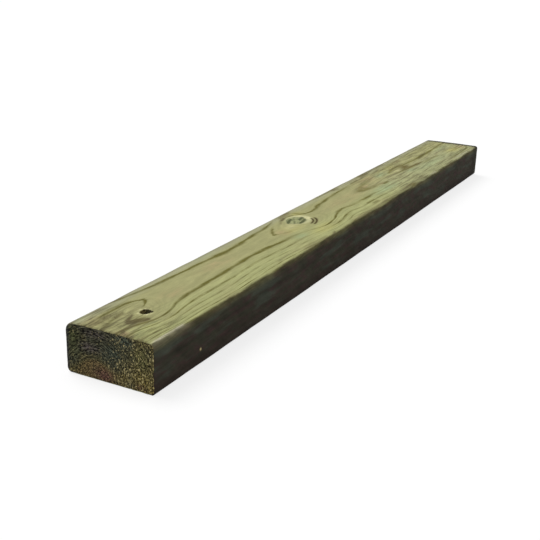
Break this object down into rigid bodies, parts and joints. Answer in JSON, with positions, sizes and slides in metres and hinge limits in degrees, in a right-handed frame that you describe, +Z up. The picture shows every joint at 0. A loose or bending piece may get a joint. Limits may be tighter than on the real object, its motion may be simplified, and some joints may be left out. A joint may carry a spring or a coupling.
{
  "type": "timber stud",
  "caption": "Short length of preservative-treated softwood framing timber with a rectangular section, eased long corners and square-sawn ends, lying on its wide face.",
  "frame": {"origin": "on the floor, under the middle of the stud's box, in its flat underside", "axes": "+X along the length, from the end with the small knot pit towards the other end; +Y across the width, to the left when looking along +X; +Z up through the thickness"},
  "size_m": [0.9, 0.09, 0.047],
  "materials": {
    "treated_softwood": "dry planed softwood with a green preservative tint, olive and pale on the upper face, dark brown on the edges, rough and darker on the sawn ends"
  },
  "bodies": {
    "root": {"timber_stud": "treated_softwood"}
  },
  "joints": []
}
